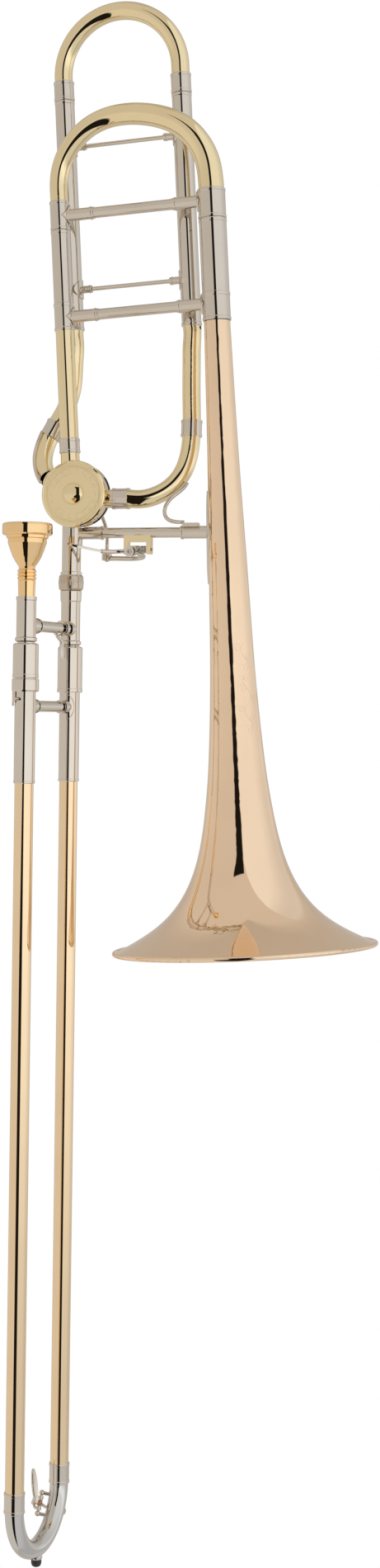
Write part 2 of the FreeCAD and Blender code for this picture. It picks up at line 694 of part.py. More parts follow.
def valve_cap():
    """Screw cap: flat face with a fine groove near its edge, and a polished dome in a groove."""
    y = CAP_FRONT
    dome = Part.Arc(V(0, y - 1.9, 0), V(BOSS_R * 0.55, y - 1.45, 0), V(BOSS_R, y - 0.1, 0)).toShape()
    prof = [(BOSS_R, y - 0.1), (BOSS_R + 0.4, y + 0.5), (BOSS_R + 1.0, y + 0.5), (BOSS_R + 1.4, y),
            (25.4, y), (25.7, y + 0.3), (26.1, y + 0.3), (26.4, y + 0.1), (27.3, y + 0.5),
            (CAP_R, y + 1.5), (CAP_R, CASE_FRONT - 0.02), (0, CASE_FRONT - 0.02), (0, y - 1.9)]
    sides = Part.makePolygon([V(r, h, 0) for r, h in prof])
    face = Part.Face(Part.Wire([dome] + sides.Edges))
    cap = face.revolve(V(0, 0, 0), V(0, 1, 0), 360)
    cap.translate(V(VALVE_X, 0, VALVE_Z))
    return cap


def bearing_plate():
    """Rear plate of the valve with the raised seat for the rotor spindle."""
    plate = drum(CASE_BACK + 0.02, CASE_BACK + 2.6, PLATE_R)
    seat = drum(CASE_BACK + 2.6, CASE_BACK + 4.6, 7.0)
    hole = drum(CASE_BACK - 2.0, CASE_BACK + 8.0, 3.0 + FIT)
    return joined([plate, seat]).cut(hole)


def rotor():
    """Rotor with two through passages, turning on its rear spindle."""
    body = drum(CASE_FRONT + 0.6, CASE_BACK - 0.5, ROTOR_R)
    for x in (-8.6, 8.6):
        body = body.cut(Part.makeCylinder(6.9, 60, V(VALVE_X + x, 0, VALVE_Z - 30)))
    spindle = drum(CASE_BACK - 0.5, CASE_BACK + 11.0, 3.0)
    return joined([body, spindle])


def stop_arm():
    """Arm clamped on the spindle, reaching out to the link rod."""
    y0, y1 = CASE_BACK + 5.4, CASE_BACK + 9.0
    hub = drum(y0, y1 + 1.2, 6.2)
    a = math.radians(-ARM_HALF_THROW)
    tip = V(VALVE_X + ARM_R * math.cos(a), 0, VALVE_Z + ARM_R * math.sin(a))
    web = Part.makeBox(ARM_R, y1 - y0, 5.0, V(0, y0, -2.5))
    web.rotate(V(0, 0, 0), V(0, 1, 0), ARM_HALF_THROW)
    web.translate(V(VALVE_X, 0, VALVE_Z))
    eye = Part.makeCylinder(3.4, y1 - y0, V(tip.x, y0, tip.z), V(0, 1, 0))
    stud = Part.makeCylinder(1.3, 7.0, V(tip.x, y1, tip.z), V(0, 1, 0))
    head = Part.makeCylinder(3.3, 1.4, V(tip.x, y1 + 5.2, tip.z), V(0, 1, 0))
    tail = Part.makeBox(9.0, y1 - y0, 4.0, V(-11.5, y0, -2.0))
    tail.rotate(V(0, 0, 0), V(0, 1, 0), ARM_HALF_THROW)
    tail.translate(V(VALVE_X, 0, VALVE_Z))
    full = joined([hub, web, eye, stud, head, tail])
    return full.cut(drum(CASE_BACK, CASE_BACK + 12, 3.0))


def stop_bumpers():
    """Two cork bumpers on pillars that end the rotor's swing."""
    parts = []
    for sign in (1, -1):
        a = math.radians(180 + sign * 52.0)
        c = V(VALVE_X + 10.6 * math.cos(a), 0, VALVE_Z - 10.6 * math.sin(a))
        parts.append(Part.makeCylinder(2.3, 6.0, V(c.x, CASE_BACK + 2.6, c.z), V(0, 1, 0)))
    return Part.makeCompound(parts)


# ---------------------------------------------------------------- lever and link
def lever_bracket():
    """Brass U frame under the main brace; its two ears carry the hinge pin."""
    x0, x1 = 46.6, 69.8
    z1 = MAIN_BRACE_Z - 0.6
    z0 = 30.2
    frame = Part.makeBox(x1 - x0, 7.4, z1 - z0, V(x0, -3.7, z0))
    window = Part.makeBox(x1 - x0 - 7.4, 9, z1 - z0 - 7.0, V(x0 + 3.7, -4.5, z0 - 0.1))
    frame = frame.cut(window).cut(rod(V(0, 0, MAIN_BRACE_Z), V(150, 0, MAIN_BRACE_Z), BRACE_R))
    frame = frame.common(Part.makeBox(40, 9, 30, V(x0 - 1, -4.5, z0 - 1)))
    return frame.cut(rod(V(40, HINGE_Y, HINGE_Z), V(80, HINGE_Y, HINGE_Z), 1.5))


def lever_pin():
    return rod(V(46.4, HINGE_Y, HINGE_Z), V(70.6, HINGE_Y, HINGE_Z), 1.48)


def ball_point():
    a = math.radians(-LEVER_HALF_THROW)
    return V(BALL_X, HINGE_Y + LEVER_ARM * math.cos(a), HINGE_Z + LEVER_ARM * math.sin(a))


def lever_arm():
    """Hub on the hinge pin, clamp for the paddle, rear arm out to the link ball."""
    hub = rod(V(LEVER_X0, HINGE_Y, HINGE_Z), V(LEVER_X1, HINGE_Y, HINGE_Z), 3.3)
    ball = ball_point()
    arm = sweep(spline([V(57.6, 1.6, HINGE_Z - 2.6), V(60.6, 7.0, ball.z + 1.0), V(54.0, 14.0, ball.z - 0.3),
                        V(40.0, 18.6, ball.z - 0.2), V(ball.x + 2.6, ball.y, ball.z)]), 2.0)
    knob = Part.makeSphere(2.9, ball)
    clamp = rod(V(55.0, -2.0, HINGE_Z - 1.0), V(55.0, -15.0, HINGE_Z - 2.6), 4.2)
    collar = rod(V(55.0, -12.2, HINGE_Z - 2.25), V(55.0, -13.4, HINGE_Z - 2.4), 4.7)
    full = joined([hub, arm, knob, clamp, collar])
    full = full.cut(rod(V(40, HINGE_Y, HINGE_Z), V(80, HINGE_Y, HINGE_Z), 1.48 + FIT))
    return full.cut(paddle_stem(1.72)).cut(screw_body(2.25))


def paddle_stem(r):
    return rod(V(60.5, -9.0, HINGE_Z - 1.8), V(44.0, -10.5, HINGE_Z - 2.2), r)


def thumb_paddle():
    """Rod through the clamp, opening into a long thin curved thumb blade."""
    stem = paddle_stem(1.7)
    lead = sweep(spline([V(46.0, -10.3, HINGE_Z - 2.15), V(38.0, -13.5, HINGE_Z - 2.6),
                         V(32.0, -18.0, HINGE_Z - 2.4)]), 1.7)
    stations = [(34.0, -16.5, HINGE_Z - 2.4, 3.4), (27.0, -21.0, HINGE_Z - 1.2, 5.6),
                (18.0, -25.5, HINGE_Z + 0.6, 6.4), (8.5, -29.0, HINGE_Z + 3.2, 4.6)]
    wires = []
    for x, y, z, half in stations:
        wires.append(Part.makePolygon([V(x - 1.0, y - half, z - 1.1), V(x + 1.2, y + half, z - 1.1),
                                       V(x + 1.2, y + half, z + 0.7), V(x - 1.0, y - half, z + 0.7),
                                       V(x - 1.0, y - half, z - 1.1)]))
    blade = Part.makeLoft(wires, True)
    return joined([stem, lead, blade])


def screw_body(r):
    return rod(V(55.0, -12.6, HINGE_Z - 2.3), V(55.0, -15.4, HINGE_Z - 2.64), r)


def clamp_screw():
    head = screw_body(2.2)
    sock = rod(V(55.0, -14.2, HINGE_Z - 2.5), V(55.0, -15.6, HINGE_Z - 2.66), 1.2)
    return head.cut(sock)


def lever_spring():
    a = V(LEVER_X1 + 0.8, HINGE_Y, HINGE_Z)
    b = V(65.4, HINGE_Y, HINGE_Z)
    return coil(a, b, 2.7, 0.45, 5)


def link_rod():
    """Rod from the lever's ball up behind the brace to the stop arm's stud."""
    ball = ball_point()
    a = math.radians(-ARM_HALF_THROW)
    pin = V(VALVE_X + ARM_R * math.cos(a), CASE_BACK + 11.0, VALVE_Z + ARM_R * math.sin(a))
    cup = rod(V(ball.x, ball.y, ball.z - 1.6), V(ball.x, ball.y, ball.z + 4.6), 4.2)
    cup = cup.cut(Part.makeSphere(3.1, ball))
    cup = cup.cut(rod(ball, V(ball.x + 12.0, ball.y, ball.z), 2.6))
    cup = cup.cut(Part.makeBox(9, 5.2, 6, V(ball.x, ball.y - 2.6, ball.z - 5)))
    eye = tube(V(pin.x, pin.y - 1.4, pin.z), V(pin.x, pin.y + 1.4, pin.z), 4.6, 3.0)
    path = spline([V(ball.x, ball.y, ball.z + 4.2), V(ball.x, ball.y + 0.4, ball.z + 14.0),
                   V(ball.x - 0.2, pin.y - 0.3, ball.z + 23.0), V(ball.x - 3.6, pin.y, pin.z - 12.6),
                   V(pin.x, pin.y, pin.z - 3.9)])
    return joined([cup, eye, sweep(path, 1.55)])


# ---------------------------------------------------------------- main brace and wires
def main_brace():
    """Brace from the neckpipe to the bell, with a socket at each end."""
    p = V(0, 0, MAIN_BRACE_Z)
    q = V(134.0, 0, MAIN_BRACE_Z)
    bar = rod(p, q, BRACE_R)
    left = rod(V(0, 0, MAIN_BRACE_Z), V(28.0, 0, MAIN_BRACE_Z), BRACE_END_R)
    right = rod(V(95.0, 0, MAIN_BRACE_Z), V(134.0, 0, MAIN_BRACE_Z), BRACE_END_R)
    rings = [rod(V(x, 0, MAIN_BRACE_Z), V(x + 1.4, 0, MAIN_BRACE_Z), BRACE_END_R + 0.6)
             for x in (26.0, 95.6)]
    foot_block = Part.makeBox(11, 15, 20, V(0, -7.5, MAIN_BRACE_Z - 10))
    foot = shell_patch(foot_block, V(0, 0, 20), V(0, 0, 70), NECK_R, 1.2)
    full = joined([bar, left, right, foot] + rings)
    full = full.cut(Part.makeCylinder(NECK_R, 60, V(0, 0, 10)))
    full = full.cut(casing_solid()).cut(drum(CASE_FRONT - 6, CASE_BACK + 3, CAP_R))
    full = full.cut(bell_solid()).cut(bell_flange_blank())
    return max(full.Solids, key=lambda s: s.Volume)


def bell_flange_blank():
    """Long diamond plate wrapped on the near side of the bell."""
    plate = diamond(V(118.0, 0, MAIN_BRACE_Z - 4.5), 38.5, 9.5, 18.0, (1, 0, 0), (-0.06, 0, 0.998))
    outer = bell_solid()
    grown = grown_bell(1.5)
    return plate.common(grown).cut(outer)


def grown_bell(extra):
    pts = [V(r + extra, 0, w) for w, r in bell_stations()[:8]]
    curve = spline(pts).toShape()
    top = V(0, 0, pts[0].z)
    low = V(0, 0, pts[-1].z)
    edges = [Part.makeLine(top, pts[0]), curve, Part.makeLine(pts[-1], low), Part.makeLine(low, top)]
    body = Part.Face(Part.Wire(Part.__sortEdges__(edges))).revolve(V(0, 0, 0), V(0, 0, 1), 360)
    body.translate(V(BELL_U, 0, 0))
    return on_bell(body)


def bell_flange():
    return max(bell_flange_blank().Solids, key=lambda s: s.Volume)


def beside_loop(heights, reach):
    """Curve lying against the outer front of the left loop, through the given heights."""
    curve = left_loop_curve()
    pts = []
    for z in heights:
        param = parameter_at_height(curve, z)
        run = V(*curve.tangent(param)[0])
        out = V(run.z, 0, -run.x)
        out.normalize()
        out = out if out.x < 0 else out * -1
        pts.append(curve.value(param).add(out * (0.66 * reach)).add(V(0, -0.75 * reach, 0)))
    return spline(pts)


def wire_braces():
    """Bent wire from the right elbow to the main brace, and the guard round the left loop."""
    s_path = spline([V(96.4, 11.6, 90.0), V(91.0, 8.6, 82.6), V(83.6, 4.6, 75.4), V(80.2, 1.6, 66.6),
                     V(83.4, -2.2, 59.4), V(90.0, -4.4, 56.6), V(99.0, -4.6, 56.0)])
    wire = sweep(s_path, 1.6)
    pad = Part.makeBox(13.0, 7.0, 3.2, V(98.0, -7.0, MAIN_BRACE_Z + 4.2))
    foot = pad.cut(rod(V(0, 0, MAIN_BRACE_Z), V(140, 0, MAIN_BRACE_Z), BRACE_END_R))
    brace_end = rod(V(80, 0, MAIN_BRACE_Z), V(134, 0, MAIN_BRACE_Z), BRACE_END_R)
    wire = joined([wire.cut(right_elbow_core()).cut(brace_end), foot])
    guard = sweep(beside_loop((133.0, 124.0, 114.0, 105.0, 98.5, 94.6), ATT_TUBE_R + 1.35), 1.4)
    guard = guard.cut(left_loop_core()).cut(drum(CASE_FRONT, CASE_BACK, CASING_R + 0.6))
    guard = guard.cut(rod(port_lines()[2][0], port_lines()[2][1], ATT_TUBE_R)).cut(att_ferrules())
    return Part.makeCompound(wire.Solids + [max(guard.Solids, key=lambda s: s.Volume)])


# ---------------------------------------------------------------- tuning slide
def tuning_arc():
    """The crook's centre line: a half circle, a little flat on top and full on its narrow shoulder."""
    mid = (LEG_U + BELL_U) / 2
    half = (BELL_U - LEG_U) / 2
    pts = [V(LEG_U, 0, TUNE_TOP - 2.0)]
    for deg, extra in CROOK_SWELL:
        a = math.radians(deg)
        r = half + extra
        pts.append(V(mid + r * math.cos(a), 0, TUNE_TOP + r * math.sin(a)))
    pts.append(V(BELL_U, 0, TUNE_TOP - WIDE_DROP - 2.0))
    return spline(pts, V(0, 0, 1), V(0, 0, -1))


def tuning_crook():
    return on_bell(hollow(tuning_arc(), TUNE_LEG_R, 0.8, WIDE_LEG_R))


def leg_pair(z0, z1, small, wide):
    """Tubes on both tuning legs; small and wide give (outer, inner) radii."""
    a = vertical_tube(LEG_U, 0, z0, z1, small[0], small[1])
    b = vertical_tube(BELL_U, 0, z0 - WIDE_DROP, z1 - WIDE_DROP, wide[0], wide[1])
    return on_bell(Part.makeCompound([a, b]))


def tuning_inner_legs():
    small = (TUNE_LEG_R - 0.1, TUNE_LEG_R - 0.8)
    wide = (WIDE_LEG_R - 0.1, WIDE_LEG_R - 0.8)
    return leg_pair(SLEEVE_END - 6.0, TUNE_TOP - 2.1, small, wide)


def banded(u, y, z0, z1, r, r_in, band):
    """Ferrule with a raised band at each end."""
    prof = [(r_in, z0), (r - 0.3, z0), (r + band, z0 + 0.5), (r + band, z0 + 2.2), (r, z0 + 2.8),
            (r, z1 - 2.8), (r + band, z1 - 2.2), (r + band, z1 - 0.5), (r - 0.3, z1), (r_in, z1)]
    return lathe(prof, u, y)


def tuning_moving_ferrules():
    z0 = TUNE_SPLIT + GAP
    z1 = TUNE_TOP
    a = banded(LEG_U, 0, z0, z1, TUNE_SLEEVE_R, TUNE_LEG_R + FIT, 0.35)
    b = banded(BELL_U, 0, z0 - WIDE_DROP, z1 - WIDE_DROP, WIDE_SLEEVE_R, WIDE_LEG_R + FIT, 0.35)
    return on_bell(Part.makeCompound([a, b]))


def tuning_sleeves():
    """Fixed outer sleeves with their lower ferrules, one leg each side."""
    out = []
    legs = ((LEG_U, TUNE_SLEEVE_R, TUNE_LEG_R, 0.0), (BELL_U, WIDE_SLEEVE_R, WIDE_LEG_R, WIDE_DROP))
    for u, r, leg_r, drop in legs:
        bore = leg_r - 0.1 + FIT
        prof = [
            (bore, TUNE_SPLIT), (r, TUNE_SPLIT), (r + 0.3, TUNE_SPLIT - 0.6), (r + 0.3, TUNE_SPLIT - 2.4),
            (r, TUNE_SPLIT - 3.0), (r, SLEEVE_END + 0.4), (r + 0.5, SLEEVE_END), (r + 0.5, SLEEVE_END - 2.4),
            (r + 0.1, SLEEVE_END - 3.0), (r + 0.1, TUNE_END + 3.0), (r + 0.5, TUNE_END + 2.4),
            (r + 0.5, TUNE_END + 0.6), (r + 0.2, TUNE_END), (bore, TUNE_END),
        ]
        out.append(lathe([(x, z - drop) for x, z in prof], u, 0))
    return on_bell(Part.makeCompound(out))


def cross_brace(w, r, end_r, end_len, flange_long, left_r, right_r):
    """Brace between the tuning legs with a diamond flange on each leg."""
    p = V(LEG_U, 0, w)
    q = V(BELL_U, 0, w)
    n0 = V(LEG_U + left_r, 0, w)
    n1 = V(BELL_U - right_r, 0, w)
    bar = brace_bar(n0, n1, r, end_r, end_len, 1.0)
    ends = [rod(p, n0, end_r), rod(n1, q, end_r)]
    for u, rr, s in ((LEG_U, left_r, 1), (BELL_U, right_r, -1)):
        plate = diamond(V(u + s * rr, 0, w), flange_long, 7.6, rr * 0.7, (1, 0, 0), (0, 0, 1))
        ends.append(shell_patch(plate, V(u, 0, w - 20), V(u, 0, w + 20), rr, 1.1))
    full = joined([bar] + ends)
    for u, rr in ((LEG_U, left_r), (BELL_U, right_r)):
        full = full.cut(Part.makeCylinder(rr, 50, V(u, 0, w - 25)))
    return on_bell(full)


def tuning_brace_moving():
    w = (TUNE_TOP + TUNE_SPLIT) / 2
    return cross_brace(w, 4.5, 5.0, 22.0, 8.6, TUNE_SLEEVE_R + 0.35, WIDE_SLEEVE_R + 0.35)


def tuning_brace_fixed():
    w = (SLEEVE_END + TUNE_END) / 2
    return cross_brace(w, 4.5, 5.0, 22.0, 8.4, TUNE_SLEEVE_R + 0.5, WIDE_SLEEVE_R + 0.5)


def valve_leg():
    """Tapered brass pipe from the tuning sleeve down to the valve's upper stub."""
    top = TUNE_END - 0.0
    low = LEG_FERRULE[1] + 6.2
    prof = [(TUNE_LEG_R - 0.2, top), (TUNE_SLEEVE_R - 0.3, top), (7.9, low), (7.1, low)]
    return on_bell(lathe(prof, LEG_U, 0))


def valve_leg_ferrule():
    return on_bell(banded(LEG_U, 0, LEG_FERRULE[1], LEG_FERRULE[0], 8.5, 7.95, 0.3).cut(
        along(port_solids()[0], BELL_LEAN, V(0, 1, 0))))


# ---------------------------------------------------------------- attachment tubing
def att_arc():
    mid = (ATT_LEFT_U + ATT_RIGHT_U) / 2
    half = (ATT_RIGHT_U - ATT_LEFT_U) / 2
    return bow(V(mid, ATT_Y, ATT_TOP + BOW_RISE), half, (1, 0, 0), (0, 0, 1), BOW_RISE + 2.0, ATT_DROP)


def att_crook():
    return on_bell(hollow(att_arc(), ATT_TUBE_R, 0.7))


def att_pair(z0, z1, r_out, r_in):
    a = vertical_tube(ATT_LEFT_U, ATT_Y, z0, z1, r_out, r_in)
    b = vertical_tube(ATT_RIGHT_U, ATT_Y, z0 - ATT_DROP, z1 - ATT_DROP, r_out, r_in)
    return on_bell(Part.makeCompound([a, b]))


def att_inner_legs():
    return att_pair(ATT_SPLIT - 92.0, ATT_TOP - 2.1, ATT_TUBE_R - 0.1, ATT_TUBE_R - 0.7)


def att_moving_ferrules():
    core = sweep(att_arc(), ATT_TUBE_R)
    out = []
    for u, drop in ((ATT_LEFT_U, 0.0), (ATT_RIGHT_U, ATT_DROP)):
        z0, z1 = ATT_SPLIT + GAP - drop, ATT_TOP - drop
        ring = banded(u, ATT_Y, z0, z1, ATT_FERRULE_R - 0.3, ATT_TUBE_R, 0.3)
        out.append(ring.cut(core))
    return on_bell(Part.makeCompound(out))


def att_sleeves():
    out = []
    bore = ATT_TUBE_R - 0.1 + FIT
    r = ATT_SLEEVE_R
    for u, drop in ((ATT_LEFT_U, 0.0), (ATT_RIGHT_U, ATT_DROP)):
        prof = [
            (bore, ATT_SPLIT), (r, ATT_SPLIT), (r + 0.3, ATT_SPLIT - 0.6), (r + 0.3, ATT_SPLIT - 2.2),
            (r, ATT_SPLIT - 2.8), (r, ATT_END + 3.2), (r + 0.4, ATT_END + 2.6), (r + 0.4, ATT_END + 0.5),
            (r, ATT_END), (bore, ATT_END),
        ]
        out.append(lathe([(x, z - drop) for x, z in prof], u, ATT_Y))
    return on_bell(Part.makeCompound(out))


def att_braces():
    """Two thin braces between the attachment sleeves and a stub to the main leg."""
    out = []
    left_r = ATT_SLEEVE_R
    for w in (376.0, 255.0):
        p = V(ATT_LEFT_U, ATT_Y, w)
        q = V(ATT_RIGHT_U, ATT_Y, w)
        a = V(ATT_LEFT_U + left_r, ATT_Y, w)
        b = V(ATT_RIGHT_U - left_r, ATT_Y, w)
        bar = brace_bar(a, b, 1.75, 3.1, 9.0, 0.8)
        parts = [bar, rod(p, a, 3.1), rod(b, q, 3.1)]
        for u, s in ((ATT_LEFT_U, 1), (ATT_RIGHT_U, -1)):
            disc = Part.makeCylinder(8.2, 12.0, V(u, ATT_Y, w), V(s, 0, 0))
            parts.append(shell_patch(disc, V(u, ATT_Y, w - 12), V(u, ATT_Y, w + 12), left_r, 0.9))
        full = joined(parts)
        for u in (ATT_LEFT_U, ATT_RIGHT_U):
            full = full.cut(Part.makeCylinder(left_r, 60, V(u, ATT_Y, w - 30)))
        out += full.Solids
    stub = rod(V(LEG_U, 0, 205.0), V(ATT_LEFT_U, ATT_Y, 205.0), 2.6)
    stub = stub.cut(Part.makeCylinder(TUNE_SLEEVE_R, 30, V(LEG_U, 0, 190)))
    stub = along(stub, -BELL_LEAN, V(0, 1, 0)).cut(left_loop_core())
    piece = max(stub.Solids, key=lambda s: s.Volume)
    return Part.makeCompound([on_bell(s) for s in out] + [piece])


def left_loop_curve():
    """From the left attachment sleeve, behind the main leg, round into the valve."""
    top = bell_point(ATT_LEFT_U, ATT_Y, ATT_END)
    step = bell_point(ATT_LEFT_U, ATT_Y, ATT_END - 12.0)
    stub = port_lines()[2]
    return spline([top, step, V(-8.0, ATT_Y, 190.0), V(-9.4, ATT_Y, 172.0), V(-13.2, 23.8, 159.0),
                   V(-18.6, 23.2, 148.0), V(-24.6, 21.6, 137.6), V(-29.0, 17.4, 125.0),
                   V(-30.0, 11.6, 111.6), V(-26.6, 6.4, 100.8), stub[1]])


def left_loop_core():
    return sweep(left_loop_curve(), ATT_TUBE_R)


def att_left_loop():
    return hollow(left_loop_curve(), ATT_TUBE_R, 0.7)


def right_elbow_curve():
    """From the valve's right stub round the elbow and up to the right sleeve."""
    stub = port_lines()[1][1]
    leaving = stub.sub(port_lines()[1][0]).normalize()
    top = bell_point(ATT_RIGHT_U, ATT_Y, ATT_END - ATT_DROP)
    step = bell_point(ATT_RIGHT_U, ATT_Y, ATT_END - ATT_DROP - 10.0)
    return spline([stub, V(48.0, 1.1, stub.z), V(57.4, 3.2, 76.0), V(69.8, 7.2, 78.9), V(82.2, 12.0, 86.8),
                   V(90.7, 16.6, 98.6), V(95.0, 20.6, 114.2), V(96.2, 23.4, 133.0), V(95.7, ATT_Y, 158.0),
                   V(95.3, ATT_Y, 186.0), step, top], leaving, top.sub(step).normalize())


def right_elbow_core():
    return sweep(right_elbow_curve(), ATT_TUBE_R)


def att_right_elbow():
    return hollow(right_elbow_curve(), ATT_TUBE_R, 0.7)


def ferrule_on(curve, s0, s1, r):
    """Short ferrule round a stretch of a bent tube, between two curve parameters."""
    a, b = curve.value(s0), curve.value(s1)
    d = b.sub(a)
    d.normalize()
    ring = rod(a, b, r)
    for p, s in ((a, 1), (b, -1)):
        ring = ring.fuse(rod(p, p.add(d * (2.0 * s)), r + 0.35))
    return ring


def att_ferrules():
    """Ferrules where the attachment tubes are joined."""
    left, right = left_loop_curve(), right_elbow_curve()
    out = []
    for curve, core, w in ((left, left_loop_core(), 136.8), (right, right_elbow_core(), 136.0)):
        mid = parameter_at_height(curve, w)
        span = 6.8 / curve.length() * (curve.LastParameter - curve.FirstParameter)
        out.append(ferrule_on(curve, mid - span, mid + span, 8.6).cut(core))
    stub_a, stub_b = port_lines()[1][0], port_lines()[1][1]
    ring = banded_between(V(35.6, stub_a.y, stub_a.z), V(49.6, stub_b.y, stub_b.z), 8.5)
    ring = ring.cut(rod(stub_a, stub_b, ATT_TUBE_R)).cut(right_elbow_core())
    out.append(max(ring.Solids, key=lambda s: s.Volume))
    return Part.makeCompound([s for part in out for s in part.Solids])


def parameter_at_height(curve, z):
    """Curve parameter where the tube passes a height, found by halving."""
    lo, hi = curve.FirstParameter, curve.LastParameter
    rising = curve.value(hi).z > curve.value(lo).z
    for _ in range(40):
        mid = (lo + hi) / 2
        above = curve.value(mid).z > z
        if above == rising:
            hi = mid
        else:
            lo = mid
    return lo


def banded_between(p, q, r):
    d = q.sub(p)
    d.normalize()
    ring = rod(p, q, r)
    for a, s in ((p, 1), (q, -1)):
        ring = ring.fuse(rod(a, a.add(d * (1.8 * s)), r + 0.35))
    return ring


# ---------------------------------------------------------------- write the parts
def slide_parts():
    return {
        "mouthpiece": mouthpiece(),
        "mouthpiece_receiver": mouthpiece_receiver(),
        "inner_tube_mouth_side": inner_tube(MP_Y, MP_END - 0.6),
        "inner_tube_bell_side": inner_tube(0, -24.6),
        "cork_barrel_mouth_side": barrel(MP_Y, SHORT_BARREL_BOTTOM),
        "cork_barrel_bell_side": barrel(0, BARREL_BOTTOM),
        "slide_receiver": slide_receiver(),
        "inner_slide_brace": inner_slide_brace(),
        "finger_rest": finger_rest(),
        "slide_lock_ring": slide_lock_ring(),
        "outer_tube_mouth_side": outer_tube(MP_Y),
        "outer_tube_bell_side": outer_tube(0),
        "outer_sleeve_mouth_side": outer_sleeve(MP_Y),
        "outer_sleeve_bell_side": outer_sleeve(0),
        "hand_brace": hand_brace(),
        "crook_ferrules": Part.makeCompound([crook_ferrule(MP_Y), crook_ferrule(0)]),
        "slide_crook": slide_crook(),
        "catch_pin": catch_pin(),
        "rubber_tip": rubber_tip(),
        "water_key_saddle": water_key_saddle(),
        "water_key_pin": water_key_pin(),
        "water_key_lever": water_key_lever(),
        "water_key_pad": water_key_pad(),
        "water_key_spring": water_key_spring(),
    }


def bell_parts():
    return {
        "neckpipe": neckpipe(),
        "lock_nut": lock_nut(),
        "valve_casing": valve_casing(),
        "valve_ports": valve_ports(),
        "valve_cap": valve_cap(),
        "bearing_plate": bearing_plate(),
        "rotor": rotor(),
        "stop_arm": stop_arm(),
        "stop_bumpers": stop_bumpers(),
        "lever_bracket": lever_bracket(),
        "lever_pin": lever_pin(),
        "lever_arm": lever_arm(),
        "thumb_paddle": thumb_paddle(),
        "clamp_screw": clamp_screw(),
        "lever_spring": lever_spring(),
        "link_rod": link_rod(),
        "main_brace": main_brace(),
        "bell_flange": bell_flange(),
        "wire_braces": wire_braces(),
        "bell": bell_body(),
        "tuning_crook": tuning_crook(),
        "tuning_inner_legs": tuning_inner_legs(),
        "tuning_moving_ferrules": tuning_moving_ferrules(),
        "tuning_sleeves": tuning_sleeves(),
        "tuning_brace_moving": tuning_brace_moving(),
        "tuning_brace_fixed": tuning_brace_fixed(),
        "valve_leg": valve_leg(),
        "valve_leg_ferrule": valve_leg_ferrule(),
        "attachment_crook": att_crook(),
        "attachment_inner_legs": att_inner_legs(),
        "attachment_moving_ferrules": att_moving_ferrules(),
        "attachment_sleeves": att_sleeves(),
        "attachment_braces": att_braces(),
        "attachment_left_loop": att_left_loop(),
        "attachment_right_elbow": att_right_elbow(),
        "attachment_ferrules": att_ferrules(),
    }


for part_name, part_shape in slide_parts().items():
    save(part_name, on_slide(part_shape))
for part_name, part_shape in bell_parts().items():
    save(part_name, part_shape)
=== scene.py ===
import json
import math

import bpy
from mathutils import Matrix, Vector
from mathutils.bvhtree import BVHTree


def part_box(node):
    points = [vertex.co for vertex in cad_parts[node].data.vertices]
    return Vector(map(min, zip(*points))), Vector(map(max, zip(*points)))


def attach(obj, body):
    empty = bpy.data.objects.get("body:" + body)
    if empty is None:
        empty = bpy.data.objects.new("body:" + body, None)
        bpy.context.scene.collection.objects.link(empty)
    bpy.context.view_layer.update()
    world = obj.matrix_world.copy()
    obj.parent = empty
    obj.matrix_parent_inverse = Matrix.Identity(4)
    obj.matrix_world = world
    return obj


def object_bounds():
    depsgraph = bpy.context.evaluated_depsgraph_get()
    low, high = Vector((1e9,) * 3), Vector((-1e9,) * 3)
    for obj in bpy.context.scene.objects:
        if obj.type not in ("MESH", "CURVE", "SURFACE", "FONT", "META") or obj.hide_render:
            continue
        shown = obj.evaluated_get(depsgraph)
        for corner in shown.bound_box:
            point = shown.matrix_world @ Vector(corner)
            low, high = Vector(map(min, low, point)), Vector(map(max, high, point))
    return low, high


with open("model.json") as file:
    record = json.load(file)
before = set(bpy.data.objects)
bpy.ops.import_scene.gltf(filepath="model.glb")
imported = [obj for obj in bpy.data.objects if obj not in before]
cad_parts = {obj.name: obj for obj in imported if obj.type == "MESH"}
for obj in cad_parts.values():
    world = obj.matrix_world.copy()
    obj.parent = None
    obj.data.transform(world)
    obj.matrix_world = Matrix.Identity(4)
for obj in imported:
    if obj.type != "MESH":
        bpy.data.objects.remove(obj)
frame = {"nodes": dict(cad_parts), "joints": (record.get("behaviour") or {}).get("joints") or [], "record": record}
cad_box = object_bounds()
NODES = frame["nodes"]
SLOT_OF = {s["node"]: s["material_slot"] for s in frame["record"]["subparts"]}

# ---------------------------------------------------------------- camera
CAMERA_PLACE = Vector((0.6655, -1.9556, -0.1040))
CAMERA_FORWARD = Vector((-0.27573, 0.96120, 0.00800))
CAMERA_UP = Vector((-0.01029, -0.01127, 0.99988))
SENSOR_MM = 36.0
LENS_MM = 56.84
LENS_SHIFT = -0.0553


def make_camera():
    data = bpy.data.cameras.new("camera")
    cam = bpy.data.objects.new("camera", data)
    bpy.context.scene.collection.objects.link(cam)
    forward = CAMERA_FORWARD.normalized()
    right = forward.cross(CAMERA_UP).normalized()
    up = right.cross(forward)
    cam.matrix_world = Matrix((right, up, -forward)).transposed().to_4x4()
    cam.location = CAMERA_PLACE
    data.sensor_fit = "VERTICAL"
    data.sensor_height = SENSOR_MM
    data.lens = LENS_MM
    data.shift_y = LENS_SHIFT
    data.clip_start = 0.05
    data.clip_end = 60.0
    bpy.context.scene.camera = cam


make_camera()


